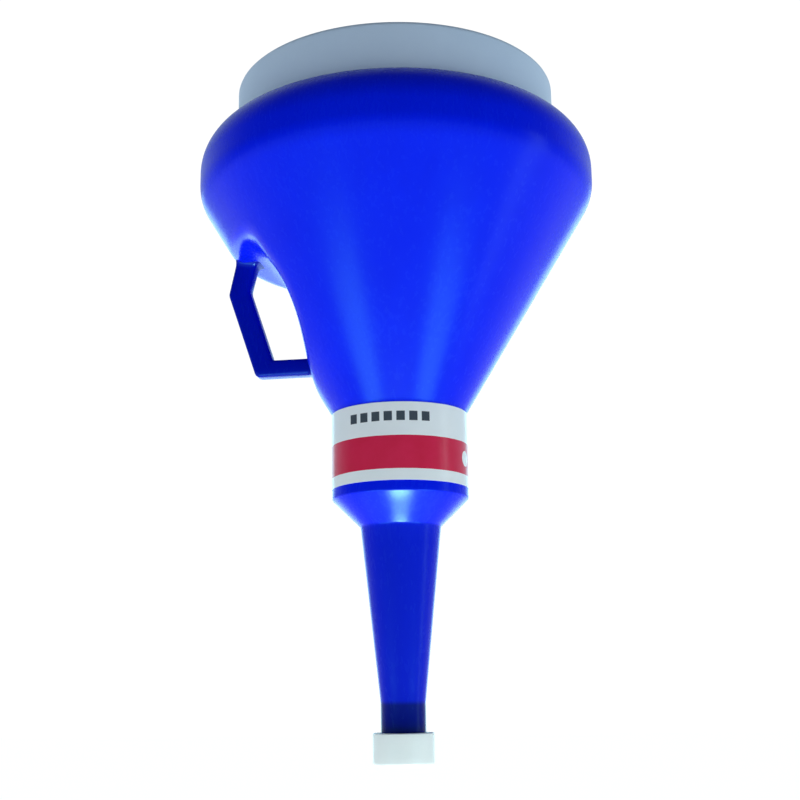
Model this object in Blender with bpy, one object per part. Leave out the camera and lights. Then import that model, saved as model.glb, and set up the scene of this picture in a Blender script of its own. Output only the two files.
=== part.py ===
"""Lidded filling funnel, modelled as its separate pieces, in metres with +Z up.

The spout points down. The origin is on the funnel's axis, where the lower cone meets the spout:
that is the seat that rests in a filler neck. The handle points along -X.
"""

import math

import bmesh
import bpy

MM = 0.001
GAP = 0.3 * MM  # clearance kept between neighbouring pieces
WALL = 2.2 * MM  # moulded wall of the bowl
SEGMENTS = 64  # facets round the bowl, the label and the lid
SMALL_SEGMENTS = 40  # facets round the spout, the cap and the strainer

# Bowl: heights are measured up from the seat.
SEAT_RADIUS = 21.5 * MM
COLLAR_RADIUS = 36.6 * MM
COLLAR_BOTTOM = 14.8 * MM
COLLAR_TOP = 61.4 * MM
BOWL_RADIUS = 110.0 * MM
CONE_TOP = 183.5 * MM  # height where the cone's straight side would reach the bowl's full radius
HIP_RADIUS = 22.0 * MM  # rounding between the cone and the upright wall
SHOULDER_RADIUS = 25.0 * MM
SHOULDER_START = 196.5 * MM
MOUTH_RADIUS = 87.2 * MM  # outside of the upright neck round the mouth
MOUTH_TOP = 244.5 * MM

# Hand recess in the cone, drawn in the handle's own plane as distances out from the axis.
RECESS_CEILING = 152.7 * MM
RECESS_CEILING_INNER = 70.4 * MM
RECESS_BACK = 47.0 * MM
RECESS_BEND = 117.4 * MM  # height where the sloping back turns upright
RECESS_ROUND = 4.0 * MM

# Handle: a flat bar with one knee.
HANDLE_THICKNESS = 10.0 * MM
HANDLE_KNEE_OUT = 96.4 * MM
HANDLE_KNEE_HEIGHT = 134.5 * MM
HANDLE_ROOT_OUT = 92.5 * MM
HANDLE_FOOT_OUT = 80.1 * MM
HANDLE_FOOT_HEIGHT = 86.0 * MM
HANDLE_BAR = 12.1 * MM  # width of the upright bar
HANDLE_LOWER_BAR = 9.4 * MM  # height of the bar that returns to the cone
HANDLE_EDGE = 1.2 * MM

# Spout: a long taper with a short straight tip.
SPOUT_WALL = 2.0 * MM
SPOUT_TIP_RADIUS = 11.75 * MM
SPOUT_TAPER_END = -91.4 * MM
SPOUT_END = -121.2 * MM

# Cap on the spout's tip.
CAP_RADIUS = 16.0 * MM
CAP_TOP = -106.5 * MM
CAP_BOTTOM = -123.5 * MM
CAP_FLOOR = 1.9 * MM
CAP_SLEEVE = 1.3 * MM
CAP_SKIRT = 1.4 * MM
CAP_ROUND = 2.0 * MM

# Lid: a skirt outside the neck, a plug wall inside it and a sunken panel.
LID_RADIUS = 89.5 * MM
LID_WALL = 2.0 * MM
LID_TOP = 248.8 * MM
LID_BOTTOM = 221.9 * MM
LID_PANEL_TOP = 240.0 * MM
LID_ROUND = 3.0 * MM

# Label: printed film round the collar.
LABEL_FILM = 0.3 * MM
LABEL_BOTTOM = 19.9 * MM
LABEL_TOP = 60.9 * MM

# Strainer: a ribbed basket with wire cloth inside it.
BASKET_RIM_TOP = 68.0 * MM
BASKET_RIM_BOTTOM = 63.0 * MM
BASKET_BOTTOM = 26.0 * MM
BASKET_TOP_RADIUS = 32.2 * MM
BASKET_BOTTOM_RADIUS = 27.0 * MM
BASKET_WALL = 1.6 * MM
BASKET_WINDOWS = 8
BASKET_WINDOW_WIDTH = 17.0 * MM
BASKET_WINDOW_BOTTOM = 31.0 * MM
BASKET_WINDOW_TOP = 57.0 * MM
CLOTH = 0.6 * MM


def clear_scene():
    for thing in list(bpy.data.objects):
        bpy.data.objects.remove(thing, do_unlink=True)


def plastic(name, colour, roughness, metallic=0.0):
    """A Principled material with one colour."""
    material = bpy.data.materials.new(name)
    material.use_nodes = True
    shader = material.node_tree.nodes["Principled BSDF"]
    shader.inputs["Base Color"].default_value = (*colour, 1.0)
    shader.inputs["Roughness"].default_value = roughness
    shader.inputs["Metallic"].default_value = metallic
    material.diffuse_color = (*colour, 1.0)
    return material


def arc(centre_out, centre_up, radius, start, end, steps):
    """Points (distance from the axis, height) along an arc, with its angles in degrees."""
    points = []
    for step in range(steps + 1):
        angle = math.radians(start + (end - start) * step / steps)
        points.append((centre_out + radius * math.cos(angle), centre_up + radius * math.sin(angle)))
    return points


def add_object(name, shape, material):
    """Put a finished bmesh in the scene as one smooth-shaded object."""
    bmesh.ops.recalc_face_normals(shape, faces=shape.faces)
    mesh = bpy.data.meshes.new(name)
    shape.to_mesh(mesh)
    shape.free()
    mesh.shade_smooth()
    mesh.set_sharp_from_angle(angle=math.radians(30.0))
    if material:
        mesh.materials.append(material)
    thing = bpy.data.objects.new(name, mesh)
    bpy.context.collection.objects.link(thing)
    return thing


def turned(name, outline, segments, material=None):
    """Turn a closed outline of (radius, height) points round the Z axis."""
    shape = bmesh.new()
    rings = []
    for radius, height in outline:
        if radius < 1e-6:
            rings.append([shape.verts.new((0.0, 0.0, height))])
            continue
        ring = []
        for step in range(segments):
            angle = 2.0 * math.pi * step / segments
            ring.append(shape.verts.new((radius * math.cos(angle), radius * math.sin(angle), height)))
        rings.append(ring)
    for lower, upper in zip(rings, rings[1:] + rings[:1]):
        if len(lower) == 1 and len(upper) == 1:
            continue
        for step in range(segments):
            after = (step + 1) % segments
            if len(lower) == 1:
                corners = (lower[0], upper[step], upper[after])
            elif len(upper) == 1:
                corners = (lower[step], lower[after], upper[0])
            else:
                corners = (lower[step], lower[after], upper[after], upper[step])
            shape.faces.new(corners)
    return add_object(name, shape, material)


def prism(name, outline, half_width, material=None):
    """Extrude an outline of (distance out along -X, height) points to both sides of the XZ plane."""
    shape = bmesh.new()
    near = [shape.verts.new((-out, -half_width, up)) for out, up in outline]
    far = [shape.verts.new((-out, half_width, up)) for out, up in outline]
    shape.faces.new(near)
    shape.faces.new(far)
    for here in range(len(outline)):
        after = (here + 1) % len(outline)
        shape.faces.new((near[here], near[after], far[after], far[here]))
    return add_object(name, shape, material)


def block(name, low, high):
    """A plain box between two corners."""
    outline = [(-low[0], low[2]), (-high[0], low[2]), (-high[0], high[2]), (-low[0], high[2])]
    half = (high[1] - low[1]) / 2
    thing = prism(name, outline, half)
    for vertex in thing.data.vertices:
        vertex.co.y += (high[1] + low[1]) / 2
    return thing


def cut(target, cutter):
    """Subtract a cutter, which stays in the scene as a hidden wire shape."""
    modifier = target.modifiers.new(cutter.name, "BOOLEAN")
    modifier.operation = "DIFFERENCE"
    modifier.object = cutter
    modifier.solver = "EXACT"
    cutter.hide_render = True
    cutter.display_type = "WIRE"


def cone_slope():
    """Angle between the cone's side and the axis."""
    return math.atan2(BOWL_RADIUS - COLLAR_RADIUS, CONE_TOP - COLLAR_TOP)


def bowl_side(inset):
    """The bowl's side from the seat up to the mouth, offset inwards by a wall thickness."""
    slope = cone_slope()
    lower_slope = math.atan2(COLLAR_RADIUS - SEAT_RADIUS, COLLAR_BOTTOM)
    tangent = HIP_RADIUS * math.tan(slope / 2)
    hip_centre = CONE_TOP + tangent
    shoulder_centre = BOWL_RADIUS - SHOULDER_RADIUS
    mouth_angle = math.degrees(math.acos((MOUTH_RADIUS - shoulder_centre) / SHOULDER_RADIUS))
    lower_shift = inset * math.tan(lower_slope / 2)
    upper_shift = inset * math.tan(slope / 2)
    side = [(SEAT_RADIUS - inset / math.cos(lower_slope), 0.0)]
    side.append((COLLAR_RADIUS - inset, COLLAR_BOTTOM + lower_shift))
    side.append((COLLAR_RADIUS - inset, COLLAR_TOP + upper_shift))
    side += arc(BOWL_RADIUS - HIP_RADIUS, hip_centre, HIP_RADIUS - inset, -math.degrees(slope), 0, 4)
    side += arc(shoulder_centre, SHOULDER_START, SHOULDER_RADIUS - inset, 0, mouth_angle, 8)
    side.append((MOUTH_RADIUS - inset, MOUTH_TOP))
    return side


def recess_cutter(name, grown, half_width):
    """The hand recess: a level ceiling, a sloping back and an upright back, open to both sides."""
    beyond = BOWL_RADIUS + 20 * MM
    slope = math.atan2(RECESS_CEILING_INNER - RECESS_BACK, RECESS_CEILING - RECESS_BEND)
    ceiling = RECESS_CEILING + grown
    back = RECESS_BACK - grown
    bend = RECESS_BEND + grown * math.tan(slope / 2)
    inner = back + (ceiling - bend) * math.tan(slope)
    bottom = -20 * MM
    outline = [(beyond, bottom), (back, bottom), (back, bend), (inner, ceiling), (beyond, ceiling)]
    cutter = prism(name, outline, half_width)
    if grown == 0.0:
        rounding = cutter.modifiers.new("rounding", "BEVEL")
        rounding.width = RECESS_ROUND
        rounding.segments = 3
    return cutter


def bowl(material):
    """Bowl, hand recess, collar and lower cone: one moulding with an even wall."""
    outside = [(0.0, 0.0)] + bowl_side(0.0) + [(0.0, MOUTH_TOP)]
    thing = turned("bowl", outside, SEGMENTS, material)
    inside = bowl_side(WALL)
    below = (inside[0][0], -5 * MM)
    above = (inside[-1][0], MOUTH_TOP + 5 * MM)
    hollow = [(0.0, below[1]), below] + inside + [above, (0.0, above[1])]
    cavity = turned("bowl_cavity", hollow, SEGMENTS)
    cut(cavity, recess_cutter("recess_inner", WALL, BOWL_RADIUS + 10 * MM))
    cut(thing, recess_cutter("recess_outer", 0.0, BOWL_RADIUS + 15 * MM))
    cut(thing, cavity)
    return thing


def handle_outline():
    """Corners of the handle in its own plane, outer side first."""
    lean = math.atan2(HANDLE_KNEE_OUT - HANDLE_FOOT_OUT, HANDLE_KNEE_HEIGHT - HANDLE_FOOT_HEIGHT)
    root = RECESS_CEILING - GAP
    inner_foot_height = HANDLE_FOOT_HEIGHT + HANDLE_LOWER_BAR
    inner_foot = HANDLE_FOOT_OUT + HANDLE_LOWER_BAR * math.tan(lean) - HANDLE_BAR / math.cos(lean)
    inner_knee_height = HANDLE_KNEE_HEIGHT + 2 * MM
    inner_knee = inner_foot + (inner_knee_height - inner_foot_height) * math.tan(lean)
    wall = RECESS_BACK + GAP
    return [
        (HANDLE_ROOT_OUT, root),
        (HANDLE_KNEE_OUT, HANDLE_KNEE_HEIGHT),
        (HANDLE_FOOT_OUT, HANDLE_FOOT_HEIGHT),
        (wall, HANDLE_FOOT_HEIGHT),
        (wall, inner_foot_height),
        (inner_foot, inner_foot_height),
        (inner_knee, inner_knee_height),
        (HANDLE_ROOT_OUT - HANDLE_BAR, root),
    ]


def handle(material):
    """Finger handle that stands in the recess."""
    thing = prism("handle", handle_outline(), HANDLE_THICKNESS / 2, material)
    edges = thing.modifiers.new("edges", "BEVEL")
    edges.width = HANDLE_EDGE
    edges.segments = 2
    edges.limit_method = "ANGLE"
    edges.angle_limit = math.radians(60.0)
    return thing


def spout(material):
    """Tapered spout with a straight tip, open at both ends."""
    inner_seat = SEAT_RADIUS - SPOUT_WALL
    inner_tip = SPOUT_TIP_RADIUS - SPOUT_WALL
    outline = [
        (SEAT_RADIUS, -GAP),
        (SPOUT_TIP_RADIUS, SPOUT_TAPER_END),
        (SPOUT_TIP_RADIUS, SPOUT_END),
        (inner_tip, SPOUT_END),
        (inner_tip, SPOUT_TAPER_END),
        (inner_seat, -GAP),
    ]
    return turned("spout", outline, SMALL_SEGMENTS, material)


def tip_cap(material):
    """Cap with a grip skirt outside and a sleeve that fits over the spout's tip."""
    socket = SPOUT_TIP_RADIUS + GAP
    sleeve = socket + CAP_SLEEVE
    skirt = CAP_RADIUS - CAP_SKIRT
    floor = CAP_BOTTOM + CAP_FLOOR
    outline = [(0.0, CAP_BOTTOM)]
    outline += arc(CAP_RADIUS - CAP_ROUND, CAP_BOTTOM + CAP_ROUND, CAP_ROUND, -90, 0, 4)
    outline += [(CAP_RADIUS, CAP_TOP), (skirt, CAP_TOP), (skirt, floor), (sleeve, floor)]
    outline += [(sleeve, CAP_TOP), (socket, CAP_TOP), (socket, floor), (0.0, floor)]
    return turned("tip_cap", outline, SMALL_SEGMENTS, material)


def lid(material):
    """Snap lid: skirt, rim channel over the neck, plug wall and sunken panel."""
    plug_outer = MOUTH_RADIUS - WALL - GAP
    plug_inner = plug_outer - LID_WALL
    panel_bottom = LID_PANEL_TOP - LID_WALL
    channel = LID_TOP - LID_WALL
    outline = [(0.0, panel_bottom), (plug_outer, panel_bottom), (plug_outer, channel)]
    outline += [(LID_RADIUS - LID_WALL, channel), (LID_RADIUS - LID_WALL, LID_BOTTOM)]
    outline += [(LID_RADIUS, LID_BOTTOM)]
    outline += arc(LID_RADIUS - LID_ROUND, LID_TOP - LID_ROUND, LID_ROUND, 0, 90, 4)
    outline += [(plug_inner, LID_TOP), (plug_inner, LID_PANEL_TOP), (0.0, LID_PANEL_TOP)]
    return turned("lid", outline, SEGMENTS, material)


def label_band(material):
    """Printed film wrapped round the collar."""
    inner = COLLAR_RADIUS + GAP
    outer = inner + LABEL_FILM
    outline = [(inner, LABEL_BOTTOM), (outer, LABEL_BOTTOM), (outer, LABEL_TOP), (inner, LABEL_TOP)]
    return turned("label_band", outline, SEGMENTS, material)


def seat_on_cone(height):
    """Radius of the bowl's inner face at a height on the cone, less the clearance."""
    slope = cone_slope()
    return COLLAR_RADIUS + (height - COLLAR_TOP) * math.tan(slope) - (WALL + GAP) / math.cos(slope)


def strainer_frame(material):
    """Basket with a rim that rests on the cone and windows down its side."""
    rim_inner = BASKET_TOP_RADIUS - BASKET_WALL
    outline = [
        (BASKET_BOTTOM_RADIUS, BASKET_BOTTOM),
        (BASKET_TOP_RADIUS, BASKET_WINDOW_TOP + 2 * MM),
        (BASKET_TOP_RADIUS, BASKET_RIM_BOTTOM - 1 * MM),
        (seat_on_cone(BASKET_RIM_BOTTOM), BASKET_RIM_BOTTOM),
        (seat_on_cone(BASKET_RIM_TOP), BASKET_RIM_TOP),
        (rim_inner, BASKET_RIM_TOP),
        (rim_inner, BASKET_WINDOW_TOP + 2 * MM),
        (BASKET_BOTTOM_RADIUS - BASKET_WALL, BASKET_BOTTOM),
    ]
    thing = turned("strainer_frame", outline, SMALL_SEGMENTS, material)
    half = BASKET_WINDOW_WIDTH / 2
    reach = BASKET_TOP_RADIUS + 10 * MM
    for number in range(BASKET_WINDOWS // 2):
        low = (-reach, -half, BASKET_WINDOW_BOTTOM)
        high = (reach, half, BASKET_WINDOW_TOP)
        window = block(f"window_{number}", low, high)
        window.rotation_euler.z = math.pi * (number + 0.5) / (BASKET_WINDOWS // 2)
        cut(thing, window)
    return thing


def strainer_mesh(material):
    """Wire cloth formed into a cup inside the basket."""
    top = BASKET_RIM_TOP - 2 * MM
    bend = BASKET_WINDOW_TOP + 2 * MM
    bottom = BASKET_BOTTOM + 1 * MM
    wide = BASKET_TOP_RADIUS - BASKET_WALL - GAP
    narrow = BASKET_BOTTOM_RADIUS - BASKET_WALL - GAP
    outline = [(0.0, bottom), (narrow, bottom), (wide, bend), (wide, top)]
    outline += [(wide - CLOTH, top), (wide - CLOTH, bend)]
    outline += [(narrow - CLOTH, bottom + CLOTH), (0.0, bottom + CLOTH)]
    return turned("strainer_mesh", outline, SMALL_SEGMENTS, material)


clear_scene()
blue = plastic("blue_polyethylene", (0.010, 0.045, 0.780), 0.32)
milky = plastic("milky_polyethylene", (0.560, 0.640, 0.700), 0.38)
white = plastic("white_polyethylene", (0.860, 0.880, 0.860), 0.40)
film = plastic("printed_film", (0.780, 0.080, 0.120), 0.35)
basket = plastic("basket_plastic", (0.060, 0.065, 0.075), 0.50)
brass = plastic("brass_cloth", (0.720, 0.520, 0.220), 0.35, 1.0)
bowl(blue)
handle(blue)
spout(blue)
lid(milky)
tip_cap(white)
label_band(film)
strainer_frame(basket)
strainer_mesh(brass)
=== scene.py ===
"""Lidded filling funnel: the finished look of each piece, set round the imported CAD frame.

The funnel's axis is Z and its handle points along -X. The sections follow the order in which
the funnel is put together: moulding, handle, label, strainer, lid and cap, then the studio.
"""

import math

import bmesh
import bpy
import numpy as np
from mathutils import Matrix, Vector


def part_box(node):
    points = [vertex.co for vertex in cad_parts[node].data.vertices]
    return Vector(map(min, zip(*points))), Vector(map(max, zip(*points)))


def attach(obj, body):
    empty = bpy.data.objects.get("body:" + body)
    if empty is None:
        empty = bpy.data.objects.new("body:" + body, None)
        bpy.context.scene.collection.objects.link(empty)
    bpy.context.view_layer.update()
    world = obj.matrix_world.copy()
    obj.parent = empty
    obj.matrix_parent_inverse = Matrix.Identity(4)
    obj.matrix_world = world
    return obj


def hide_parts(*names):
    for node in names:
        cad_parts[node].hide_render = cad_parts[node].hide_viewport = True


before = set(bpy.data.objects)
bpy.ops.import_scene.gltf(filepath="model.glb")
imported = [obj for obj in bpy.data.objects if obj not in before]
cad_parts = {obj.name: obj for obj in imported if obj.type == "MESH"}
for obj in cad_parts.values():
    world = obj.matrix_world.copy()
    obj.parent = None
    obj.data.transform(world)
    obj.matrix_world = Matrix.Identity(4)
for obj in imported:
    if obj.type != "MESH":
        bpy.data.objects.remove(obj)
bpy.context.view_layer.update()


# ---------------------------------------------------------------------------------------------
# Funnel moulding: bowl, hand recess, collar, lower cone and spout are one blow-moulded shell of
# glossy blue polyethylene with an even wall. Everything else is fixed to it or rests in it.
# ---------------------------------------------------------------------------------------------

MM = 0.001

WALL = 2.2 * MM
SEAT_RADIUS = 21.5 * MM
COLLAR_RADIUS = 36.6 * MM
COLLAR_BOTTOM = 14.8 * MM
COLLAR_TOP = 61.4 * MM
BOWL_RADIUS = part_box("bowl")[1].x
CONE_TOP = 183.5 * MM  # height where the cone's straight side would reach the bowl's radius
HIP_RADIUS = 22.0 * MM
SHOULDER_RADIUS = 25.0 * MM
SHOULDER_START = 196.5 * MM
MOUTH_RADIUS = 87.2 * MM
MOUTH_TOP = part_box("bowl")[1].z
NECK_HEIGHT = 22.0 * MM
SPOUT_WALL = 2.0 * MM
SPOUT_TIP_RADIUS = 11.75 * MM
SPOUT_TAPER_END = -91.4 * MM
SPOUT_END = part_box("spout")[0].z
SOFT_CORNER = 1.5 * MM  # rounding of the collar's edges
SEAT_CORNER = 2.2 * MM  # rounding between the lower cone and the spout
TIP_CORNER = 0.6 * MM  # rounding of the spout's open end

RECESS_CEILING = 152.7 * MM
RECESS_CEILING_INNER = 70.4 * MM
RECESS_BACK = 47.0 * MM
RECESS_BEND = 117.4 * MM
RECESS_HOLLOW_ROUND = 6.0 * MM  # blend inside the recess's own corners
RECESS_EDGE_ROUND = 5.0 * MM  # blend where the recess breaks out of the cone

SLOPE = math.atan2(BOWL_RADIUS - COLLAR_RADIUS, CONE_TOP - COLLAR_TOP)


class Signal:
    """A node's output that can stand in a Python expression."""

    def __init__(self, wiring, socket):
        self.wiring = wiring
        self.socket = socket

    def maths(self, operation, first, second):
        return self.wiring.node("ShaderNodeMath", {"operation": operation}, {0: first, 1: second})

    def __add__(self, other):
        return self.maths("ADD", self, other)

    def __radd__(self, other):
        return self.maths("ADD", other, self)

    def __sub__(self, other):
        return self.maths("SUBTRACT", self, other)

    def __rsub__(self, other):
        return self.maths("SUBTRACT", other, self)

    def __mul__(self, other):
        return self.maths("MULTIPLY", self, other)

    def __rmul__(self, other):
        return self.maths("MULTIPLY", other, self)

    def __truediv__(self, other):
        return self.maths("DIVIDE", self, other)

    def __lt__(self, other):
        return self.maths("LESS_THAN", self, other)

    def __gt__(self, other):
        return self.maths("GREATER_THAN", self, other)


def set_stops(ramp, stops):
    """Give a colour ramp its stops, each a (place, colour), in their order."""
    first, *between, last = stops
    for element, (place, colour) in ((ramp.elements[0], first), (ramp.elements[-1], last)):
        element.position = place
        element.color = (*colour, 1.0)
    for place, colour in between:
        ramp.elements.new(place).color = (*colour, 1.0)


class Wiring:
    """Adds nodes to one node tree, each with its settings first and its sockets after."""

    def __init__(self, tree):
        self.tree = tree

    def node(self, kind, settings=None, sockets=None, output=0):
        made = self.tree.nodes.new(kind)
        for key, value in (settings or {}).items():
            if key == "stops":
                set_stops(made.color_ramp, value)
            else:
                setattr(made, key, value)
        for key, value in (sockets or {}).items():
            if isinstance(value, Signal):
                self.tree.links.new(value.socket, made.inputs[key])
            else:
                made.inputs[key].default_value = value
        return Signal(self, made.outputs[output]) if made.outputs else None

    def blend(self, factor, first, second):
        """Mix two colours."""
        settings = {"data_type": "RGBA", "clamp_factor": True}
        colours = [c if isinstance(c, Signal) else (*c, 1.0) for c in (first, second)]
        return self.node("ShaderNodeMix", settings, {0: factor, 6: colours[0], 7: colours[1]}, 2)


class Finish(Wiring):
    """A material: one Principled shader and the nodes that feed it."""

    def __init__(self, name, roughness, specular, **values):
        self.material = bpy.data.materials.new(name)
        self.material.use_nodes = True
        super().__init__(self.material.node_tree)
        self.shader = self.tree.nodes["Principled BSDF"]
        self.shader.inputs["Roughness"].default_value = roughness
        self.shader.inputs["Specular IOR Level"].default_value = specular
        for socket, value in values.items():
            self.shader.inputs[socket.replace("_", " ")].default_value = value
        self.place = self.node("ShaderNodeTexCoord", output="Object")

    def noise(self, scale, detail=3.0, stretch=(1.0, 1.0, 1.0)):
        """Even noise from 0 to 1, with features of about 1 / scale metres."""
        place = self.node("ShaderNodeMapping", {}, {"Vector": self.place, "Scale": stretch})
        sockets = {"Vector": place, "Scale": scale, "Detail": detail, "Roughness": 0.55}
        return self.node("ShaderNodeTexNoise", {}, sockets)

    def feed(self, socket, signal):
        self.tree.links.new(signal.socket, self.shader.inputs[socket])

    def bumps(self, height, depth):
        """Fine relief, with its depth in metres."""
        self.feed("Normal", self.node("ShaderNodeBump", {}, {"Height": height, "Distance": depth}))

    def place_along(self, axis):
        """The place on the object along one axis: 0 is X, 1 is Y and 2 is Z."""
        return self.node("ShaderNodeSeparateXYZ", {}, {0: self.place}, axis)

    def rising(self, value, start, end):
        """A smooth rise from 0 to 1 as a value goes from start to end."""
        sockets = {"Value": value, "From Min": start, "From Max": end}
        return self.node("ShaderNodeMapRange", {"interpolation_type": "SMOOTHSTEP"}, sockets)


def arc(centre, radius, start, end, steps):
    """Points along an arc round a centre, with its angles in degrees."""
    angles = np.radians(np.linspace(start, end, steps + 1))
    return [(centre[0] + radius * math.cos(a), centre[1] + radius * math.sin(a)) for a in angles]


def softened(corners, steps=4):
    """A line through corners (out, up, rounding radius), with each corner drawn as an arc."""
    line = []
    for index, (out, up, radius) in enumerate(corners):
        here = Vector((out, up))
        if radius == 0.0 or index in (0, len(corners) - 1):
            line.append((out, up))
            continue
        before = (Vector(corners[index - 1][:2]) - here).normalized()
        after = (Vector(corners[index + 1][:2]) - here).normalized()
        half = before.angle(after) / 2
        centre = here + (before + after).normalized() * radius / math.sin(half)
        first = here + before * radius / math.tan(half) - centre
        last = here + after * radius / math.tan(half) - centre
        for step in range(steps + 1):
            mixed = first.lerp(last, step / steps).normalized() * radius
            line.append((centre.x + mixed.x, centre.y + mixed.y))
    return line


def divided(line, spacing):
    """The same line with extra points, so that none are further apart than the spacing."""
    points = [line[0]]
    for here, after in zip(line, line[1:]):
        pieces = max(1, math.ceil(math.dist(here, after) / spacing))
        for step in range(1, pieces + 1):
            share = step / pieces
            points.append(tuple(a + (b - a) * share for a, b in zip(here, after)))
    return points


def soft_maximum(first, second, reach):
    """The larger of two distances, blended over a reach where they are alike."""
    overlap = np.clip(reach - np.abs(first - second), 0.0, None) / reach
    return np.maximum(first, second) + overlap * overlap * reach / 4


def recess_depth(out, up):
    """Distance outside the hand recess, negative within it: level ceiling, sloping and upright back."""
    lean = math.atan2(RECESS_CEILING_INNER - RECESS_BACK, RECESS_CEILING - RECESS_BEND)
    ceiling = up - RECESS_CEILING
    slanted = (RECESS_BACK + (up - RECESS_BEND) * math.tan(lean) - out) * math.cos(lean)
    upright = RECESS_BACK - out
    back = soft_maximum(slanted, upright, RECESS_HOLLOW_ROUND * 2)
    return soft_maximum(back, ceiling, RECESS_HOLLOW_ROUND)


def cone_rows(columns, top, bottom, inset, rows):
    """Rows of (distance out, height) down the cone and round the recess, for each column's angle."""
    eye = (20.0 * MM, 190.0 * MM)  # every point of the cone's side can be seen from here
    beyond = 250.0 * MM
    rays = 420
    halvings = 34
    corner_weight = 5.0 * MM  # a bend of one radian counts as this much travel, so corners get more rows
    start = math.atan2(top[1] - eye[1], top[0] - eye[0])
    end = math.atan2(bottom[1] - eye[1], bottom[0] - eye[0])
    directions = np.linspace(start, end, rays)[None, :]
    turn = np.cos(columns)[:, None]
    near = np.zeros((len(columns), rays))
    far = np.full((len(columns), rays), beyond)
    for _ in range(halvings):
        middle = (near + far) / 2
        out = eye[0] + middle * np.cos(directions)
        up = eye[1] + middle * np.sin(directions)
        cone = (out - COLLAR_RADIUS - (up - COLLAR_TOP) * math.tan(SLOPE)) * math.cos(SLOPE) + inset
        outside = soft_maximum(cone, inset - recess_depth(out * turn, up), RECESS_EDGE_ROUND) > 0
        far = np.where(outside, middle, far)
        near = np.where(outside, near, middle)
    line = np.stack([eye[0] + far * np.cos(directions), eye[1] + far * np.sin(directions)], axis=2)
    step = np.diff(line, axis=1)
    length = np.hypot(step[..., 0], step[..., 1])
    heading = np.unwrap(np.arctan2(step[..., 1], step[..., 0]), axis=1)
    turned_by = np.abs(np.diff(heading, axis=1, prepend=heading[:, :1]))
    travel = np.cumsum(length + turned_by * corner_weight, axis=1)
    travel = np.concatenate([np.zeros((len(columns), 1)), travel], axis=1)
    result = np.empty((rows, len(columns), 2))
    for number in range(len(columns)):
        wanted = np.linspace(0.0, travel[number, -1], rows)
        for axis in range(2):
            result[:, number, axis] = np.interp(wanted, travel[number], line[number, :, axis])
    return result


def shell_columns():
    """Angles round the axis from -X, in degrees: close together over the recess, wider elsewhere."""
    recess_side = 54.0
    over_recess = np.arange(-recess_side, recess_side, 0.6)
    elsewhere = np.arange(recess_side, 360.0 - recess_side, 2.0)
    return np.concatenate([over_recess, elsewhere])


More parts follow.
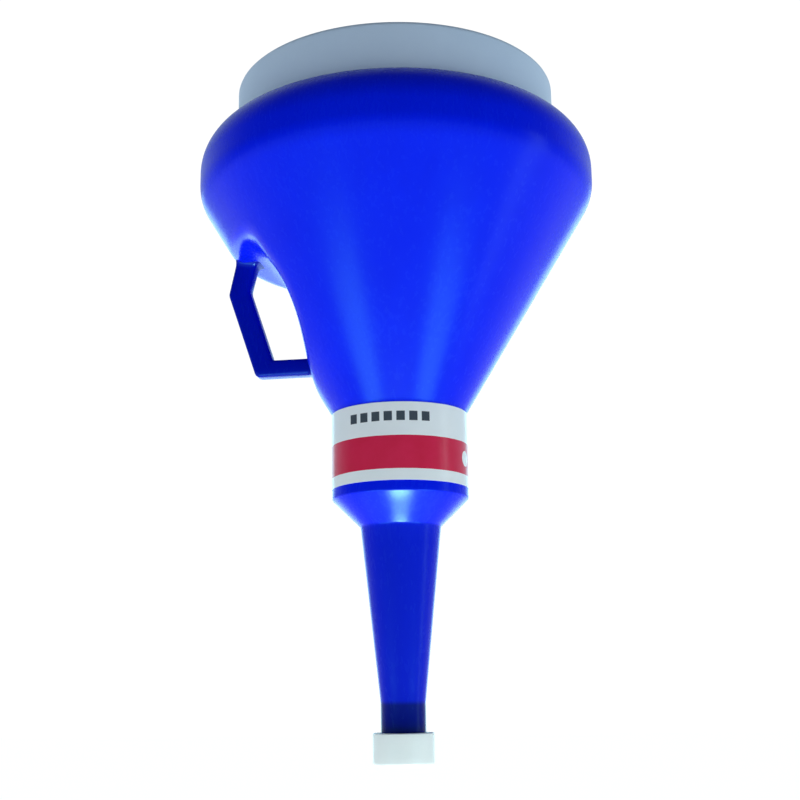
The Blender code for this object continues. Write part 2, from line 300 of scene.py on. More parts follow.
def shell_mesh(name):
    """One closed grid: down the outside to the spout's tip, and up the inside to the lip."""
    columns = np.radians(shell_columns())
    slope = math.degrees(SLOPE)
    hip = (BOWL_RADIUS - HIP_RADIUS, CONE_TOP + HIP_RADIUS * math.tan(SLOPE / 2))
    shoulder = (BOWL_RADIUS - SHOULDER_RADIUS, SHOULDER_START)
    mouth_angle = math.degrees(math.acos((MOUTH_RADIUS - shoulder[0]) / SHOULDER_RADIUS))
    lip = (MOUTH_RADIUS - WALL / 2, MOUTH_TOP - WALL / 2)
    lower_slope = math.atan2(COLLAR_RADIUS - SEAT_RADIUS, COLLAR_BOTTOM)

    outside_top = arc(lip, WALL / 2, 90, 0, 4)
    outside_top += divided([(MOUTH_RADIUS, lip[1]), (MOUTH_RADIUS, MOUTH_TOP - NECK_HEIGHT)], 8 * MM)[1:]
    outside_top += arc(shoulder, SHOULDER_RADIUS, mouth_angle, 0, 24)
    outside_top += arc(hip, HIP_RADIUS, 0, -slope, 8)

    fillet = SOFT_CORNER * math.tan(SLOPE / 2)
    above_collar = (COLLAR_RADIUS + fillet * math.sin(SLOPE), COLLAR_TOP + fillet * math.cos(SLOPE))
    lower = softened([
        (*above_collar, 0.0),
        (COLLAR_RADIUS, COLLAR_TOP - fillet, 0.0),
        (COLLAR_RADIUS, COLLAR_BOTTOM, SOFT_CORNER),
        (SEAT_RADIUS, 0.0, SEAT_CORNER),
        (SPOUT_TIP_RADIUS, SPOUT_TAPER_END, 0.0),
        (SPOUT_TIP_RADIUS, SPOUT_END, TIP_CORNER),
        (SPOUT_TIP_RADIUS - SPOUT_WALL, SPOUT_END, TIP_CORNER),
        (SPOUT_TIP_RADIUS - SPOUT_WALL, SPOUT_TAPER_END, 0.0),
        (SEAT_RADIUS - SPOUT_WALL + 0.15 * MM, 1.26 * MM, SOFT_CORNER),
        (COLLAR_RADIUS - WALL, COLLAR_BOTTOM + WALL * math.tan(lower_slope / 2), SOFT_CORNER),
        (COLLAR_RADIUS - WALL, COLLAR_TOP + WALL * math.tan(SLOPE / 2), 0.0),
    ])
    lower = divided(lower, 9 * MM)

    inside_top = arc(hip, HIP_RADIUS - WALL, -slope, 0, 5)
    inside_top += arc(shoulder, SHOULDER_RADIUS - WALL, 0, 90, 12)
    inside_top += divided([inside_top[-1], (MOUTH_RADIUS - WALL, lip[1])], 9 * MM)[1:]
    inside_top += arc(lip, WALL / 2, 180, 90, 3)[1:-1]

    def even(line):
        return np.repeat(np.array(line)[:, None, :], len(columns), axis=1)

    outer_cone = cone_rows(columns, outside_top[-1], lower[0], 0.0, 98)[1:-1]
    inner_cone = cone_rows(columns, inside_top[0], lower[-1], WALL, 48)[::-1][1:-1]
    rows = np.concatenate([even(outside_top), outer_cone, even(lower), inner_cone, even(inside_top)])
    count, around = rows.shape[:2]
    out, up = rows[..., 0], rows[..., 1]
    places = np.stack([-out * np.cos(columns), -out * np.sin(columns), up], axis=2)
    index = np.arange(count * around).reshape(count, around)
    right = np.roll(index, -1, axis=1)
    below = np.roll(index, -1, axis=0)
    faces = np.stack([index, right, np.roll(right, -1, axis=0), below], axis=2).reshape(-1, 4)
    mesh = bpy.data.meshes.new(name)
    mesh.from_pydata(places.reshape(-1, 3).tolist(), [], faces.tolist())
    shape = bmesh.new()
    shape.from_mesh(mesh)
    bpy.data.meshes.remove(mesh)
    return shape


def finished(name, shape, material, sharp=40.0):
    """Make a bmesh into one smooth-shaded object with its doubles merged and its faces outward."""
    bmesh.ops.remove_doubles(shape, verts=shape.verts, dist=0.00001)
    bmesh.ops.recalc_face_normals(shape, faces=shape.faces)
    mesh = bpy.data.meshes.new(name)
    shape.to_mesh(mesh)
    shape.free()
    mesh.shade_smooth()
    mesh.set_sharp_from_angle(angle=math.radians(sharp))
    mesh.materials.append(material)
    thing = bpy.data.objects.new(name, mesh)
    bpy.context.scene.collection.objects.link(thing)
    return thing


def blue_polyethylene(name, painted_shade_factor):
    """Glossy moulded blue, uneven in depth, with flow lines down it. Painted shade darkens the spout, and
    its tip still more.
    """
    finish = Finish(name, 0.3, 0.12)
    cloudy = finish.noise(22.0, 2.0)
    flow = finish.noise(120.0, 2.0, (1.0, 1.0, 0.06))
    # painted_shade_factor darkens the whole material as painted shade; 1.0 leaves it as it is
    deep = [part * painted_shade_factor for part in (0.0002, 0.006, 0.70)]
    bright = [part * painted_shade_factor for part in (0.0004, 0.014, 0.86)]
    colour = finish.blend(cloudy * 0.7 + flow * 0.3, deep, bright)
    height = finish.place_along(2)
    # painted shade: the blue is darkened below the spout's top, and darker still below the end of its taper
    for level, spread, kept_under_painted_shade in ((0.0, 3 * MM, 0.76), (SPOUT_TAPER_END, 1.5 * MM, 0.34)):
        above = finish.rising(height, level - spread, level + spread)
        colour = finish.blend(above * (1 - kept_under_painted_shade) + kept_under_painted_shade, (0.0, 0.0, 0.0), colour)
    finish.feed("Base Color", colour)
    scuffs = finish.noise(420.0, 4.0, (1.0, 1.0, 0.35))
    finish.feed("Roughness", 0.18 + scuffs * 0.12 + cloudy * 0.05)
    finish.bumps(finish.noise(700.0, 2.0) * 0.5 + flow, 0.00003)
    finish.shader.inputs["Specular Tint"].default_value = (0.36, 0.90, 1.0, 1.0)
    return finish.material


blue = blue_polyethylene("blue_polyethylene", 1.0)
moulding = finished("funnel_shell", shell_mesh("funnel_shell"), blue)
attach(moulding, "funnel")
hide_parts("bowl", "spout")


# ---------------------------------------------------------------------------------------------
# Handle: a solid flat bar of the same blue polyethylene. It leaves the recess's ceiling, knees
# inwards, and its lower bar returns to the recess's back, with a small fillet at both ends.
# ---------------------------------------------------------------------------------------------

HANDLE_THICKNESS = 10.0 * MM
HANDLE_KNEE = (96.4 * MM, 134.5 * MM)
HANDLE_FOOT = (80.1 * MM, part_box("handle")[0].z)
HANDLE_ROOT_OUT = 92.5 * MM
HANDLE_BAR = 12.1 * MM
HANDLE_LOWER_BAR = 9.4 * MM
HANDLE_EDGE = 2.3 * MM
HANDLE_FILLET = 3.2 * MM
HANDLE_PAINTED_SHADE = 0.46  # painted shade: the bar's blue is darkened to this share, as if shaded in the recess
BURIED = 1.0 * MM  # how far the bar's ends reach into the wall


def station_line(start, corners, end):
    """Points along one side of the bar, closest together at its ends, and equally many for both sides."""
    steps = 6  # in each corner's arc
    line = softened([(*start, 0.0), *corners, (*end, 0.0)], steps)
    even = np.linspace(0.0, 1.0, 15)
    stretches = [
        (line[0], line[1], even ** 1.7),
        (line[1 + steps], line[2 + steps], even),
        (line[-2], line[-1], 1 - (1 - even) ** 1.9),
    ]
    arcs = [line[2:1 + steps], line[3 + steps:2 + 2 * steps], []]
    points = []
    for (here, after, shares), arc_points in zip(stretches, arcs):
        points += [tuple(a + (b - a) * s for a, b in zip(here, after)) for s in shares]
        points += arc_points
    return points


def fillet_growth(distance):
    """How much the bar has spread at a distance from the wall that it joins."""
    left = HANDLE_FILLET - min(max(distance, 0.0), HANDLE_FILLET)
    return HANDLE_FILLET - math.sqrt(HANDLE_FILLET ** 2 - left ** 2)


def handle_sides():
    """The outer and the inner line of the bar, from the recess's ceiling down to its back wall."""
    lean = math.atan2(HANDLE_KNEE[0] - HANDLE_FOOT[0], HANDLE_KNEE[1] - HANDLE_FOOT[1])
    foot_up = HANDLE_FOOT[1] + HANDLE_LOWER_BAR
    foot_out = HANDLE_FOOT[0] + HANDLE_LOWER_BAR * math.tan(lean) - HANDLE_BAR / math.cos(lean)
    knee_up = HANDLE_KNEE[1] + 2 * MM
    knee_out = foot_out + (knee_up - foot_up) * math.tan(lean)
    root_outer = (HANDLE_ROOT_OUT - 0.8 * MM, RECESS_CEILING + 3.3 * MM)
    root_inner = (HANDLE_ROOT_OUT - HANDLE_BAR - BURIED / 4, RECESS_CEILING + BURIED)
    wall = RECESS_BACK - BURIED
    outer_corners = [(*HANDLE_KNEE, 5 * MM), (*HANDLE_FOOT, 3.5 * MM)]
    inner_corners = [(knee_out, knee_up, 7 * MM), (foot_out, foot_up, 2 * MM)]
    outer = station_line(root_outer, outer_corners, (wall, HANDLE_FOOT[1]))
    return outer, station_line(root_inner, inner_corners, (wall, foot_up))


def handle_mesh():
    """Rounded sections lofted along the bar, each spread by the fillets where it nears a wall."""
    shape = bmesh.new()
    rings = []
    for (outer_out, outer_up), (inner_out, inner_up) in zip(*handle_sides()):
        root_growth = fillet_growth(RECESS_CEILING - inner_up)
        wall_growth = fillet_growth(outer_out - RECESS_BACK)
        inner_out -= root_growth
        inner_up += wall_growth
        outer_up -= wall_growth
        half = HANDLE_THICKNESS / 2 + root_growth + wall_growth
        middle = Vector((outer_out + inner_out, outer_up + inner_up)) / 2
        across = Vector((outer_out - inner_out, outer_up - inner_up))
        width = across.length / 2
        across.normalize()
        ring = []
        for side, turn in ((1, 0), (-1, 90), (-1, 180), (1, 270)):
            far = 1 if turn in (0, 90) else -1
            for step in range(5):
                angle = math.radians(turn + step * 22.5)
                along = side * (width - HANDLE_EDGE) + HANDLE_EDGE * math.cos(angle)
                sideways = far * (half - HANDLE_EDGE) + HANDLE_EDGE * math.sin(angle)
                point = middle + across * along
                ring.append(shape.verts.new((-point.x, sideways, point.y)))
        rings.append(ring)
    root_height = RECESS_CEILING + BURIED
    for vertex in rings[0]:  # the root's end follows the wall, so that it stays inside it
        cone_height = COLLAR_TOP + (-vertex.co.x + 1.2 * MM - COLLAR_RADIUS) / math.tan(SLOPE)
        vertex.co.z = max(root_height, cone_height)
    for here, after in zip(rings, rings[1:]):
        for step in range(len(here)):
            beside = (step + 1) % len(here)
            shape.faces.new((here[step], here[beside], after[beside], after[step]))
    hub = shape.verts.new((-88.0 * MM, 0.0, root_height))
    for here, after in zip(rings[0], rings[0][1:] + rings[0][:1]):
        shape.faces.new((hub, here, after))
    shape.faces.new(rings[-1])
    return shape


# The handle gets a darker copy of the blue: painted shade for the bar in the recess.
handle = finished("grip_bar", handle_mesh(), blue_polyethylene("painted_shade_blue_polyethylene", HANDLE_PAINTED_SHADE))
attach(handle, "funnel")
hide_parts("handle")


# ---------------------------------------------------------------------------------------------
# Label: one strip of printed film wrapped round the collar, white with a broad red band. Its end
# is glued over its start at the back.
# ---------------------------------------------------------------------------------------------

LABEL_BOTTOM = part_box("label_band")[0].z
LABEL_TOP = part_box("label_band")[1].z
FILM = 0.16 * MM
LABEL_INNER = COLLAR_RADIUS + 0.06 * MM
LABEL_SEAM = math.radians(75.0)
LABEL_OVERLAP = math.radians(11.0)
RED_BOTTOM = 25.9 * MM
RED_TOP = 43.3 * MM
SPOT_TURN = math.radians(-11.0)
SPOT_HEIGHT = 34.5 * MM
SPOT_RADIUS = 4.2 * MM
DASHES = 7
DASH_START = math.radians(-125.0)
DASH_PITCH = math.radians(10.4)
DASH_SHARE = 0.66
DASH_BOTTOM = 51.0 * MM
DASH_TOP = 56.0 * MM


def label_mesh():
    """A thin closed strip, wound a little past one full turn."""
    steps = 190
    climb = 0.06  # radians over which the end rises onto the start
    heights = [up for _, up in divided([(0.0, LABEL_BOTTOM), (0.0, LABEL_TOP)], 7 * MM)]
    shape = bmesh.new()
    sides = []
    for lift in (0.0, FILM):
        grid = []
        for step in range(steps + 1):
            wound = (2 * math.pi + LABEL_OVERLAP) * step / steps
            over = min(max((wound - 2 * math.pi + climb) / climb, 0.0), 1.0)
            radius = LABEL_INNER + lift + (FILM + 0.02 * MM) * over * over * (3 - 2 * over)
            x = radius * math.cos(LABEL_SEAM + wound)
            y = radius * math.sin(LABEL_SEAM + wound)
            grid.append([shape.verts.new((x, y, height)) for height in heights])
        sides.append(grid)
    inner, outer = sides
    last = len(heights) - 1
    for step in range(steps):
        for row in range(last):
            for grid in sides:
                here, after = grid[step], grid[step + 1]
                shape.faces.new((here[row], after[row], after[row + 1], here[row + 1]))
        for row in (0, last):
            shape.faces.new((inner[step][row], inner[step + 1][row], outer[step + 1][row], outer[step][row]))
    for step in (0, steps):
        for row in range(last):
            shape.faces.new((inner[step][row], inner[step][row + 1], outer[step][row + 1], outer[step][row]))
    return shape


def printed_film():
    """White film with a red band, a row of plain dark dashes and a plain white spot, all clear coated."""
    finish = Finish("printed_film", 0.3, 0.3, Coat_Weight=0.15, Coat_Roughness=0.2)
    height = finish.place_along(2)
    around = {0: finish.place_along(1), 1: finish.place_along(0)}
    angle = finish.node("ShaderNodeMath", {"operation": "ARCTAN2"}, around)
    wobble = (finish.noise(260.0, 2.0) - 0.5) * 0.0002
    red = (height + wobble > RED_BOTTOM) * (height + wobble < RED_TOP)
    paper = finish.blend(finish.noise(60.0, 2.0), (0.74, 0.83, 0.84), (0.84, 0.90, 0.90))
    ink = finish.blend(finish.noise(90.0, 3.0), (0.56, 0.008, 0.045), (0.66, 0.018, 0.085))
    colour = finish.blend(red, paper, ink)
    sweep = (angle - SPOT_TURN) * COLLAR_RADIUS
    rise = height - SPOT_HEIGHT
    spot = (sweep * sweep + rise * rise) < SPOT_RADIUS ** 2
    colour = finish.blend(spot, colour, (0.80, 0.86, 0.86))
    dash = finish.node("ShaderNodeMath", {"operation": "FRACT"}, {0: (angle - DASH_START) / DASH_PITCH})
    row = (height > DASH_BOTTOM) * (height < DASH_TOP) * (dash < DASH_SHARE)
    row = row * (angle > DASH_START) * (angle < DASH_START + DASHES * DASH_PITCH)
    colour = finish.blend(row, colour, (0.05, 0.07, 0.09))
    finish.feed("Base Color", colour)
    finish.feed("Roughness", 0.26 + finish.noise(300.0, 3.0) * 0.12)
    finish.bumps(finish.noise(160.0, 2.0), 0.00008)
    return finish.material


label = finished("printed_label", label_mesh(), printed_film(), 60.0)
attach(label, "funnel")
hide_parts("label_band")


# ---------------------------------------------------------------------------------------------
# Strainer frame: a black moulded basket that drops into the throat. Its rim rests on the cone,
# and eight ribs join the rim to the ring at its foot.
# ---------------------------------------------------------------------------------------------

RIM_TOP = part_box("strainer_frame")[1].z
RIM_BOTTOM = RIM_TOP - 5.0 * MM
BASKET_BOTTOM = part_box("strainer_frame")[0].z
BASKET_TOP_RADIUS = 32.2 * MM
BASKET_BOTTOM_RADIUS = 27.0 * MM
BASKET_WALL = 1.6 * MM
WINDOW_TOP = 57.0 * MM
WINDOW_BOTTOM = 31.0 * MM
WAIST = (43.4 * MM, 44.8 * MM)  # a thin ring half way up the windows
RIBS = 8
RIB_WIDTH = 6.4 * MM


def turned(outline, segments):
    """Turn a closed outline of (radius, height) points round the Z axis."""
    shape = bmesh.new()
    rings = []
    for radius, height in outline:
        if radius < 1e-7:
            rings.append([shape.verts.new((0.0, 0.0, height))])
            continue
        angles = [2 * math.pi * step / segments for step in range(segments)]
        rings.append([shape.verts.new((radius * math.cos(a), radius * math.sin(a), height)) for a in angles])
    for lower, upper in zip(rings, rings[1:] + rings[:1]):
        if len(lower) == 1 and len(upper) == 1:
            continue
        for step in range(segments):
            after = (step + 1) % segments
            below = [lower[step % len(lower)], lower[after % len(lower)]]
            above = [upper[after % len(upper)], upper[step % len(upper)]]
            shape.faces.new(dict.fromkeys(below + above))
    return shape


def closed(corners, steps=3):
    """A closed outline whose corners, first one included, are drawn as arcs."""
    around = [corners[-1], *corners, corners[0]]
    line = softened(around, steps)
    return line[1:-1]


def cone_seat(height):
    """Radius of the cone's inner face, less a running gap."""
    return COLLAR_RADIUS + (height - COLLAR_TOP) * math.tan(SLOPE) - (WALL + 0.3 * MM) / math.cos(SLOPE)


def basket_radius(height):
    share = (height - BASKET_BOTTOM) / (WINDOW_TOP + 2 * MM - BASKET_BOTTOM)
    return BASKET_BOTTOM_RADIUS + (BASKET_TOP_RADIUS - BASKET_BOTTOM_RADIUS) * min(share, 1.0)


def basket_ring(low, high, round_by):
    """A band of the basket's wall between two heights."""
    return closed([
        (basket_radius(low), low, round_by),
        (basket_radius(high), high, round_by),
        (basket_radius(high) - BASKET_WALL, high, round_by),
        (basket_radius(low) - BASKET_WALL, low, round_by),
    ])


def rib_mesh():
    """One rib along -X, from the foot ring up into the rim."""
    half = RIB_WIDTH / 2
    shape = bmesh.new()
    levels = []
    for height in np.linspace(WINDOW_BOTTOM - 1 * MM, WINDOW_TOP + 1 * MM, 5):
        outer = basket_radius(height) - 0.1 * MM
        inner = outer - BASKET_WALL + 0.2 * MM
        corners = ((outer, -half), (outer, half), (inner, half), (inner, -half))
        levels.append([shape.verts.new((-x, y, height)) for x, y in corners])
    for here, after in zip(levels, levels[1:]):
        for step in range(4):
            shape.faces.new((here[step], here[(step + 1) % 4], after[(step + 1) % 4], after[step]))
    shape.faces.new(levels[0])
    shape.faces.new(levels[-1])
    return shape


def ring_of_copies(name, material):
    """A tree that sets copies of a mesh evenly round the Z axis."""
    tree = bpy.data.node_groups.new(name, "GeometryNodeTree")
    tree.interface.new_socket("Geometry", in_out="INPUT", socket_type="NodeSocketGeometry")
    count = tree.interface.new_socket("Count", in_out="INPUT", socket_type="NodeSocketInt")
    tree.interface.new_socket("Geometry", in_out="OUTPUT", socket_type="NodeSocketGeometry")
    wiring = Wiring(tree)
    shape = wiring.node("NodeGroupInput")
    number = Signal(wiring, shape.socket.node.outputs["Count"])
    points = wiring.node("GeometryNodePoints", {}, {"Count": number})
    turn = wiring.node("GeometryNodeInputIndex") * (2 * math.pi) / number
    rotation = wiring.node("ShaderNodeCombineXYZ", {}, {"Z": turn})
    sockets = {"Points": points, "Instance": shape, "Rotation": rotation}
    copies = wiring.node("GeometryNodeInstanceOnPoints", {}, sockets)
    real = wiring.node("GeometryNodeRealizeInstances", {}, {0: copies})
    painted = wiring.node("GeometryNodeSetMaterial", {}, {"Geometry": real, "Material": material})
    wiring.node("NodeGroupOutput", {}, {0: painted})
    return tree, {"Count": count.identifier}


def grown(thing, tree, identifiers, values):
    """Apply a tree to an object and give back its evaluated result as a bmesh; the modifier is taken off
    again.
    """
    modifier = thing.modifiers.new(tree.name, "NODES")
    modifier.node_group = tree
    for socket, value in values.items():
        modifier[identifiers[socket]] = value
    mesh = bpy.data.meshes.new_from_object(thing.evaluated_get(bpy.context.evaluated_depsgraph_get()))
    thing.modifiers.remove(modifier)
    shape = bmesh.new()
    shape.from_mesh(mesh)
    bpy.data.meshes.remove(mesh)
    return shape


def basket_plastic():
    """Black moulded plastic with a fine satin grain."""
    finish = Finish("basket_plastic", 0.45, 0.4)
    finish.feed("Base Color", finish.blend(finish.noise(80.0), (0.018, 0.019, 0.022), (0.040, 0.042, 0.048)))
    finish.feed("Roughness", 0.40 + finish.noise(500.0) * 0.18)
    finish.bumps(finish.noise(1400.0, 2.0), 0.00004)
    return finish.material


def joined(*shapes):
    """Several bmeshes as one."""
    whole = bmesh.new()
    for shape in shapes:
        mesh = bpy.data.meshes.new("part")
        shape.to_mesh(mesh)
        shape.free()
        whole.from_mesh(mesh)
        bpy.data.meshes.remove(mesh)
    return whole


black = basket_plastic()
rim_outline = closed([
    (BASKET_TOP_RADIUS, WINDOW_TOP, 0.3 * MM),
    (BASKET_TOP_RADIUS, RIM_BOTTOM - 1 * MM, 0.3 * MM),
    (cone_seat(RIM_BOTTOM), RIM_BOTTOM, 0.2 * MM),
    (cone_seat(RIM_TOP), RIM_TOP, 0.8 * MM),
    (BASKET_TOP_RADIUS - BASKET_WALL, RIM_TOP, 0.6 * MM),
    (BASKET_TOP_RADIUS - BASKET_WALL, WINDOW_TOP, 0.4 * MM),
])
rib = finished("strainer_rib", rib_mesh(), black)
rib_tree, rib_sockets = ring_of_copies("ribs round the basket", black)
ribs = grown(rib, rib_tree, rib_sockets, {"Count": RIBS})
bpy.data.objects.remove(rib)
foot = turned(basket_ring(BASKET_BOTTOM, WINDOW_BOTTOM, 0.4 * MM), 80)
waist = turned(basket_ring(*WAIST, 0.3 * MM), 80)
basket = finished("strainer_basket", joined(turned(rim_outline, 96), foot, waist, ribs), black)
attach(basket, "strainer")
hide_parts("strainer_frame")


# ---------------------------------------------------------------------------------------------
# Strainer cloth: brass wire cloth pressed into a cup and moulded into the basket. Each wire is a
# real thin wire, so that fluid and light pass between them.
# ---------------------------------------------------------------------------------------------

WIRE = 0.2 * MM  # radius
CLOTH_PITCH = 1.9 * MM
CLOTH_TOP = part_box("strainer_mesh")[1].z
CLOTH_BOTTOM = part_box("strainer_mesh")[0].z
CLOTH_TOP_RADIUS = 29.9 * MM
CLOTH_BOTTOM_RADIUS = 24.7 * MM
CLOTH_BEND = WINDOW_TOP + 2 * MM


def cup_lattice():
    """Edges where the wires lie: rings and uprights up the side, a square weave over the floor."""
    uprights = 96
    floor_height = CLOTH_BOTTOM + WIRE
    side = divided([(CLOTH_BOTTOM_RADIUS, floor_height), (CLOTH_TOP_RADIUS, CLOTH_BEND),
                    (CLOTH_TOP_RADIUS, CLOTH_TOP - WIRE)], CLOTH_PITCH)
    shape = bmesh.new()
    rings = []
    for radius, height in side:
        angles = [2 * math.pi * step / uprights for step in range(uprights)]
        rings.append([shape.verts.new((radius * math.cos(a), radius * math.sin(a), height)) for a in angles])
    for number, ring in enumerate(rings):
        for step in range(uprights):
            shape.edges.new((ring[step], ring[(step + 1) % uprights]))
            if number:
                shape.edges.new((rings[number - 1][step], ring[step]))
    lines = int(CLOTH_BOTTOM_RADIUS / CLOTH_PITCH)
    for number in range(-lines, lines + 1):
        place = number * CLOTH_PITCH
        reach = math.sqrt(CLOTH_BOTTOM_RADIUS ** 2 - place ** 2)
        stops = np.linspace(-reach, reach, 5)
        for flip in (False, True):
            spots = [(stop, place) if flip else (place, stop) for stop in stops]
            verts = [shape.verts.new((*spot, floor_height)) for spot in spots]
            for here, after in zip(verts, verts[1:]):
                shape.edges.new((here, after))
    return shape


def wires_on_edges(name, material):
    """A tree that lays a round wire along every edge of a lattice."""
    tree = bpy.data.node_groups.new(name, "GeometryNodeTree")
    tree.interface.new_socket("Geometry", in_out="INPUT", socket_type="NodeSocketGeometry")
    radius = tree.interface.new_socket("Wire radius", in_out="INPUT", socket_type="NodeSocketFloat")
    tree.interface.new_socket("Geometry", in_out="OUTPUT", socket_type="NodeSocketGeometry")
    wiring = Wiring(tree)
    lattice = wiring.node("NodeGroupInput")
    thickness = Signal(wiring, lattice.socket.node.outputs["Wire radius"])
    paths = wiring.node("GeometryNodeMeshToCurve", {}, {"Mesh": lattice})
    profile = wiring.node("GeometryNodeCurvePrimitiveCircle", {}, {"Resolution": 4, "Radius": thickness})
    sockets = {"Curve": paths, "Profile Curve": profile, "Fill Caps": True}
    wires = wiring.node("GeometryNodeCurveToMesh", {}, sockets)
    real = wiring.node("GeometryNodeRealizeInstances", {}, {0: wires})
    painted = wiring.node("GeometryNodeSetMaterial", {}, {"Geometry": real, "Material": material})
    wiring.node("NodeGroupOutput", {}, {0: painted})
    return tree, {"Wire radius": radius.identifier}


def brass_wire():
    """Drawn brass, a little browned where fluid has dried on it."""
    finish = Finish("brass_wire", 0.35, 0.5, Metallic=1.0)
    finish.feed("Base Color", finish.blend(finish.noise(150.0), (0.56, 0.36, 0.12), (0.80, 0.60, 0.27)))
    finish.feed("Roughness", 0.28 + finish.noise(400.0) * 0.2)
    return finish.material


brass = brass_wire()
lattice = finished("cloth_lattice", cup_lattice(), brass)
wire_tree, wire_sockets = wires_on_edges("wires of the cloth", brass)
cloth = finished("strainer_cloth", grown(lattice, wire_tree, wire_sockets, {"Wire radius": WIRE}), brass)
bpy.data.objects.remove(lattice)
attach(cloth, "strainer")
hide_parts("strainer_mesh")


# ---------------------------------------------------------------------------------------------
# Lid: a soft grey-white polyethylene snap lid. Its skirt goes round the outside of the mouth's
# neck, a plug wall goes inside it, and the panel between them is sunk below the rim.
# ---------------------------------------------------------------------------------------------

LID_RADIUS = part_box("lid")[1].x
LID_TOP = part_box("lid")[1].z
LID_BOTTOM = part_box("lid")[0].z
LID_WALL = 2.0 * MM
PLUG_OUTER = MOUTH_RADIUS - WALL - 0.3 * MM
PANEL_TOP = 240.0 * MM


def lid_outline():
    """From the gate mark at the panel's centre over the rim and down the skirt, and back below."""
    plug_inner = PLUG_OUTER - LID_WALL
    skirt_inner = LID_RADIUS - LID_WALL
    channel = LID_TOP - LID_WALL
    below = PANEL_TOP - LID_WALL
    ring = 58.0 * MM  # a raised stacking ring on the panel
    return softened([
        (0.0, PANEL_TOP + 0.5 * MM, 0.0),
        (2.0 * MM, PANEL_TOP + 0.5 * MM, 0.3 * MM),
        (2.4 * MM, PANEL_TOP, 0.3 * MM),
        (ring, PANEL_TOP, 0.8 * MM),
        (ring + 1.2 * MM, PANEL_TOP + 1.2 * MM, 0.8 * MM),
        (ring + 4.0 * MM, PANEL_TOP + 1.2 * MM, 0.8 * MM),
        (ring + 5.2 * MM, PANEL_TOP, 0.8 * MM),
        (plug_inner, PANEL_TOP, 2.0 * MM),
        (plug_inner, LID_TOP, 1.2 * MM),
        (LID_RADIUS, LID_TOP, 3.0 * MM),
        (LID_RADIUS, LID_BOTTOM, 0.8 * MM),
        (skirt_inner, LID_BOTTOM, 0.6 * MM),
        (skirt_inner, channel, 0.5 * MM),
        (PLUG_OUTER, channel, 0.5 * MM),
        (PLUG_OUTER, below, 1.5 * MM),
        (0.0, below, 0.0),
    ], 5)


def lid_polyethylene():
    """Cloudy grey-white polyethylene. The skirt is painted bluer, a painted show-through of the blue neck
    behind it.
    """
    finish = Finish("lid_polyethylene", 0.36, 0.3)
    x = finish.place_along(0)
    y = finish.place_along(1)
    reach = finish.node("ShaderNodeMath", {"operation": "SQRT"}, {0: x * x + y * y})
    # painted show-through: bluer from 82 to 89 mm out, where the blue neck stands behind the skirt
    painted_show_through = finish.rising(reach, 82.0 * MM, 89.0 * MM)
    cloudy = finish.noise(28.0, 3.0)
    panel = finish.blend(cloudy, (0.58, 0.66, 0.74), (0.68, 0.75, 0.81))
    skirt = finish.blend(cloudy, (0.50, 0.67, 0.86), (0.58, 0.75, 0.92))
    finish.feed("Base Color", finish.blend(painted_show_through, panel, skirt))
    finish.feed("Roughness", 0.30 + finish.noise(350.0, 4.0) * 0.15)
    finish.bumps(finish.noise(260.0, 3.0), 0.0001)
    return finish.material


lid = finished("snap_lid", turned(divided(lid_outline(), 8 * MM), 192), lid_polyethylene())
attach(lid, "lid")
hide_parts("lid")


# ---------------------------------------------------------------------------------------------
# Tip cap: a small white polyethylene cap. An inner sleeve slides over the spout's tip, and the
# skirt round it is what the fingers pull on.
# ---------------------------------------------------------------------------------------------

CAP_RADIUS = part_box("tip_cap")[1].x
CAP_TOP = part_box("tip_cap")[1].z
CAP_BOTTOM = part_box("tip_cap")[0].z
CAP_FLOOR = 1.9 * MM


def cap_outline():
    """From the middle of the floor's underside up the skirt, and down into the sleeve."""
    socket = SPOUT_TIP_RADIUS + 0.3 * MM
    sleeve = socket + 1.3 * MM
    skirt = CAP_RADIUS - 1.4 * MM
    floor = CAP_BOTTOM + CAP_FLOOR
    return softened([
        (0.0, CAP_BOTTOM, 0.0),
        (CAP_RADIUS, CAP_BOTTOM, 2.4 * MM),
        (CAP_RADIUS, CAP_TOP, 0.6 * MM),
        (skirt, CAP_TOP, 0.5 * MM),
        (skirt, floor, 0.4 * MM),
        (sleeve, floor, 0.2 * MM),
        (sleeve, CAP_TOP, 0.5 * MM),
        (socket, CAP_TOP, 0.5 * MM),
        (socket, floor, 0.0),
        (0.0, floor, 0.0),
    ], 6)


def cap_polyethylene():
    """Milky white polyethylene."""
    finish = Finish("cap_polyethylene", 0.38, 0.35)
    finish.feed("Base Color", finish.blend(finish.noise(70.0), (0.74, 0.84, 0.81), (0.84, 0.90, 0.87)))
    finish.feed("Roughness", 0.34 + finish.noise(500.0) * 0.14)
    finish.bumps(finish.noise(500.0, 2.0), 0.00006)
    return finish.material


cap = finished("spout_cap", turned(divided(cap_outline(), 4 * MM), 96), cap_polyethylene())
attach(cap, "tip_cap")
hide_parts("tip_cap")


# ---------------------------------------------------------------------------------------------
# Studio: the funnel is held above a white floor that lights it from below. The room looks white,
# but most of its light comes from behind the funnel, and soft boxes give the highlights.
# ---------------------------------------------------------------------------------------------

VIEW_TURN = math.radians(9.0)  # the camera stands this far round from the -Y side, towards +X
VIEW_PITCH = 0.2233
VIEW_ROLL = -0.0138
FLOOR_HEIGHT = -0.45
FLOOR_GLOW = 0.8
COOL = (0.80, 0.95, 1.0)
CYAN = (0.45, 0.90, 1.0)
BACKDROP = (1.05, 1.05, 1.05)
ROOM_BRIGHT = (0.52, 0.66, 0.78)
ROOM_DIM = (0.08, 0.085, 0.10)


def studio_axes():
    """Unit vectors towards the camera's right and towards the camera, both level."""
    right = Vector((math.cos(VIEW_TURN), math.sin(VIEW_TURN), 0.0))
    front = Vector((math.sin(VIEW_TURN), -math.cos(VIEW_TURN), 0.0))
    return right, front


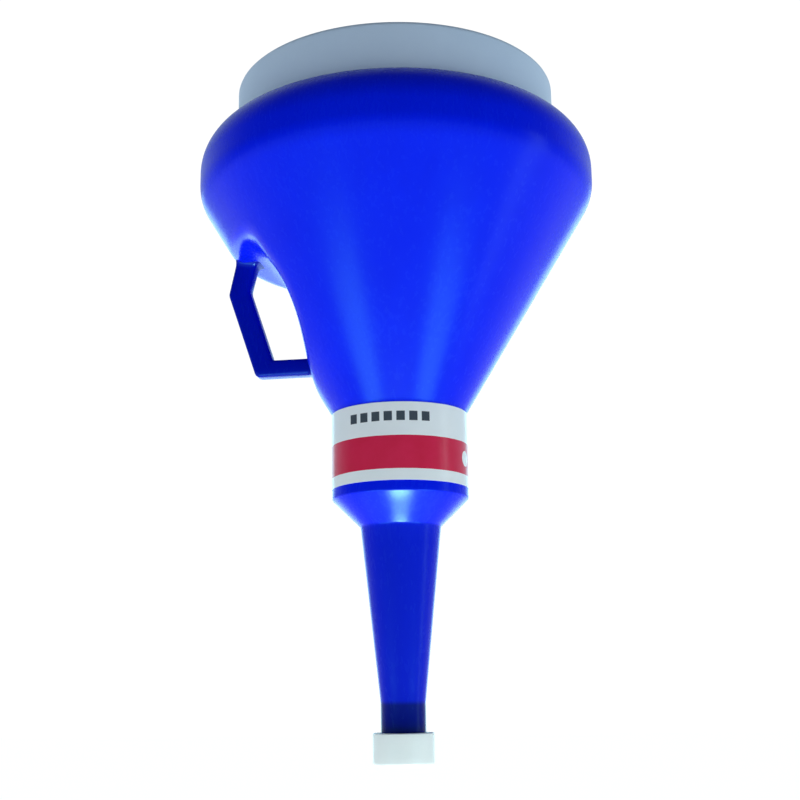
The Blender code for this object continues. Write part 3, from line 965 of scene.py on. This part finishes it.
def studio_world():
    """White all round as a backdrop. The light it sheds is bright behind the funnel and dim in front."""
    world = bpy.data.worlds.new("studio")
    world.use_nodes = True
    bpy.context.scene.world = world
    wiring = Wiring(world.node_tree)
    direction = wiring.node("ShaderNodeTexCoord", output="Generated")
    behind = wiring.node("ShaderNodeVectorMath", {"operation": "DOT_PRODUCT"}, {0: direction, 1: -front}, 1)
    stops = [(0.0, ROOM_DIM), (0.52, ROOM_DIM), (0.80, ROOM_BRIGHT), (1.0, ROOM_BRIGHT)]
    glow = wiring.node("ShaderNodeValToRGB", {"stops": stops}, {0: behind * 0.5 + 0.5})
    seen = wiring.node("ShaderNodeLightPath", output="Is Camera Ray")
    colour = wiring.blend(seen, glow, BACKDROP)
    background = world.node_tree.nodes["Background"]
    world.node_tree.links.new(colour.socket, background.inputs["Color"])


def white_floor():
    """A wide floor that glows softly."""
    shape = bmesh.new()
    bmesh.ops.create_grid(shape, x_segments=1, y_segments=1, size=12.0,
                          matrix=Matrix.Translation((0.0, 0.0, FLOOR_HEIGHT)))
    finish = Finish("white_floor", 0.9, 0.1)
    finish.shader.inputs["Base Color"].default_value = (0.88, 0.88, 0.88, 1.0)
    finish.shader.inputs["Emission Color"].default_value = (1.0, 1.0, 1.0, 1.0)
    finish.shader.inputs["Emission Strength"].default_value = FLOOR_GLOW
    thing = finished("studio_floor", shape, finish.material)


def soft_box(name, place, aim, width, height, radiance, colour=COOL, only_shine=True):
    """A rectangular light at a place, turned to face a point. Most are only seen in reflections."""
    light = bpy.data.lights.new(name, "AREA")
    light.shape = "RECTANGLE"
    light.size = width
    light.size_y = height
    light.energy = radiance * math.pi * width * height
    light.color = colour
    lamp = bpy.data.objects.new(name, light)
    lamp.location = place
    lamp.rotation_euler = (Vector(aim) - Vector(place)).to_track_quat("-Z", "Y").to_euler()
    lamp.visible_camera = False
    lamp.visible_diffuse = not only_shine
    bpy.context.scene.collection.objects.link(lamp)


def studio_camera():
    """A camera below the funnel's middle, looking up at it, with a slight roll."""
    lens = bpy.data.cameras.new("camera")
    lens.lens = 58.5
    lens.sensor_width = 36.0
    eye = bpy.data.objects.new("camera", lens)
    bpy.context.scene.collection.objects.link(eye)
    right = Vector((1.0, 0.0, 0.0))
    forward = Vector((0.0, math.cos(VIEW_PITCH), math.sin(VIEW_PITCH)))
    up = Vector((0.0, -math.sin(VIEW_PITCH), math.cos(VIEW_PITCH)))
    rolled_right = right * math.cos(VIEW_ROLL) + up * math.sin(VIEW_ROLL)
    rolled_up = up * math.cos(VIEW_ROLL) - right * math.sin(VIEW_ROLL)
    facing = Matrix((rolled_right, rolled_up, -forward)).transposed().to_4x4()
    turn = Matrix.Rotation(VIEW_TURN, 4, "Z")
    eye.matrix_world = turn @ Matrix.Translation((0.47 * MM, -693.8 * MM, -87.6 * MM)) @ facing
    bpy.context.scene.camera = eye


right, front = studio_axes()
studio_world()
white_floor()
low = Vector((0.0, 0.0, FLOOR_HEIGHT + 0.02))
soft_box("low_panel", low + front * 0.05, (0, 0, 0.1), 0.8, 0.8, 1.5, only_shine=False)
soft_box("low_box", low + front * 0.17, (0, 0, 0.01), 0.17, 0.09, 240.0)
soft_box("side_strip", right * 0.9 + front * 0.16, (0, 0, 0), 0.14, 0.9, 3.0, only_shine=False)
for side in (-1, 1):
    aside = right * side * 0.34
    soft_box(f"low_side_{side}", aside + front * 0.30 + low * 0.75, (0, 0, 0.12), 0.24, 0.24, 10.0, CYAN)
    soft_box(f"rear_strip_{side}", aside - front, (0, 0, 0), 0.56, 1.0, 2.2, CYAN)
studio_camera()
bpy.context.scene.view_settings.view_transform = "Standard"
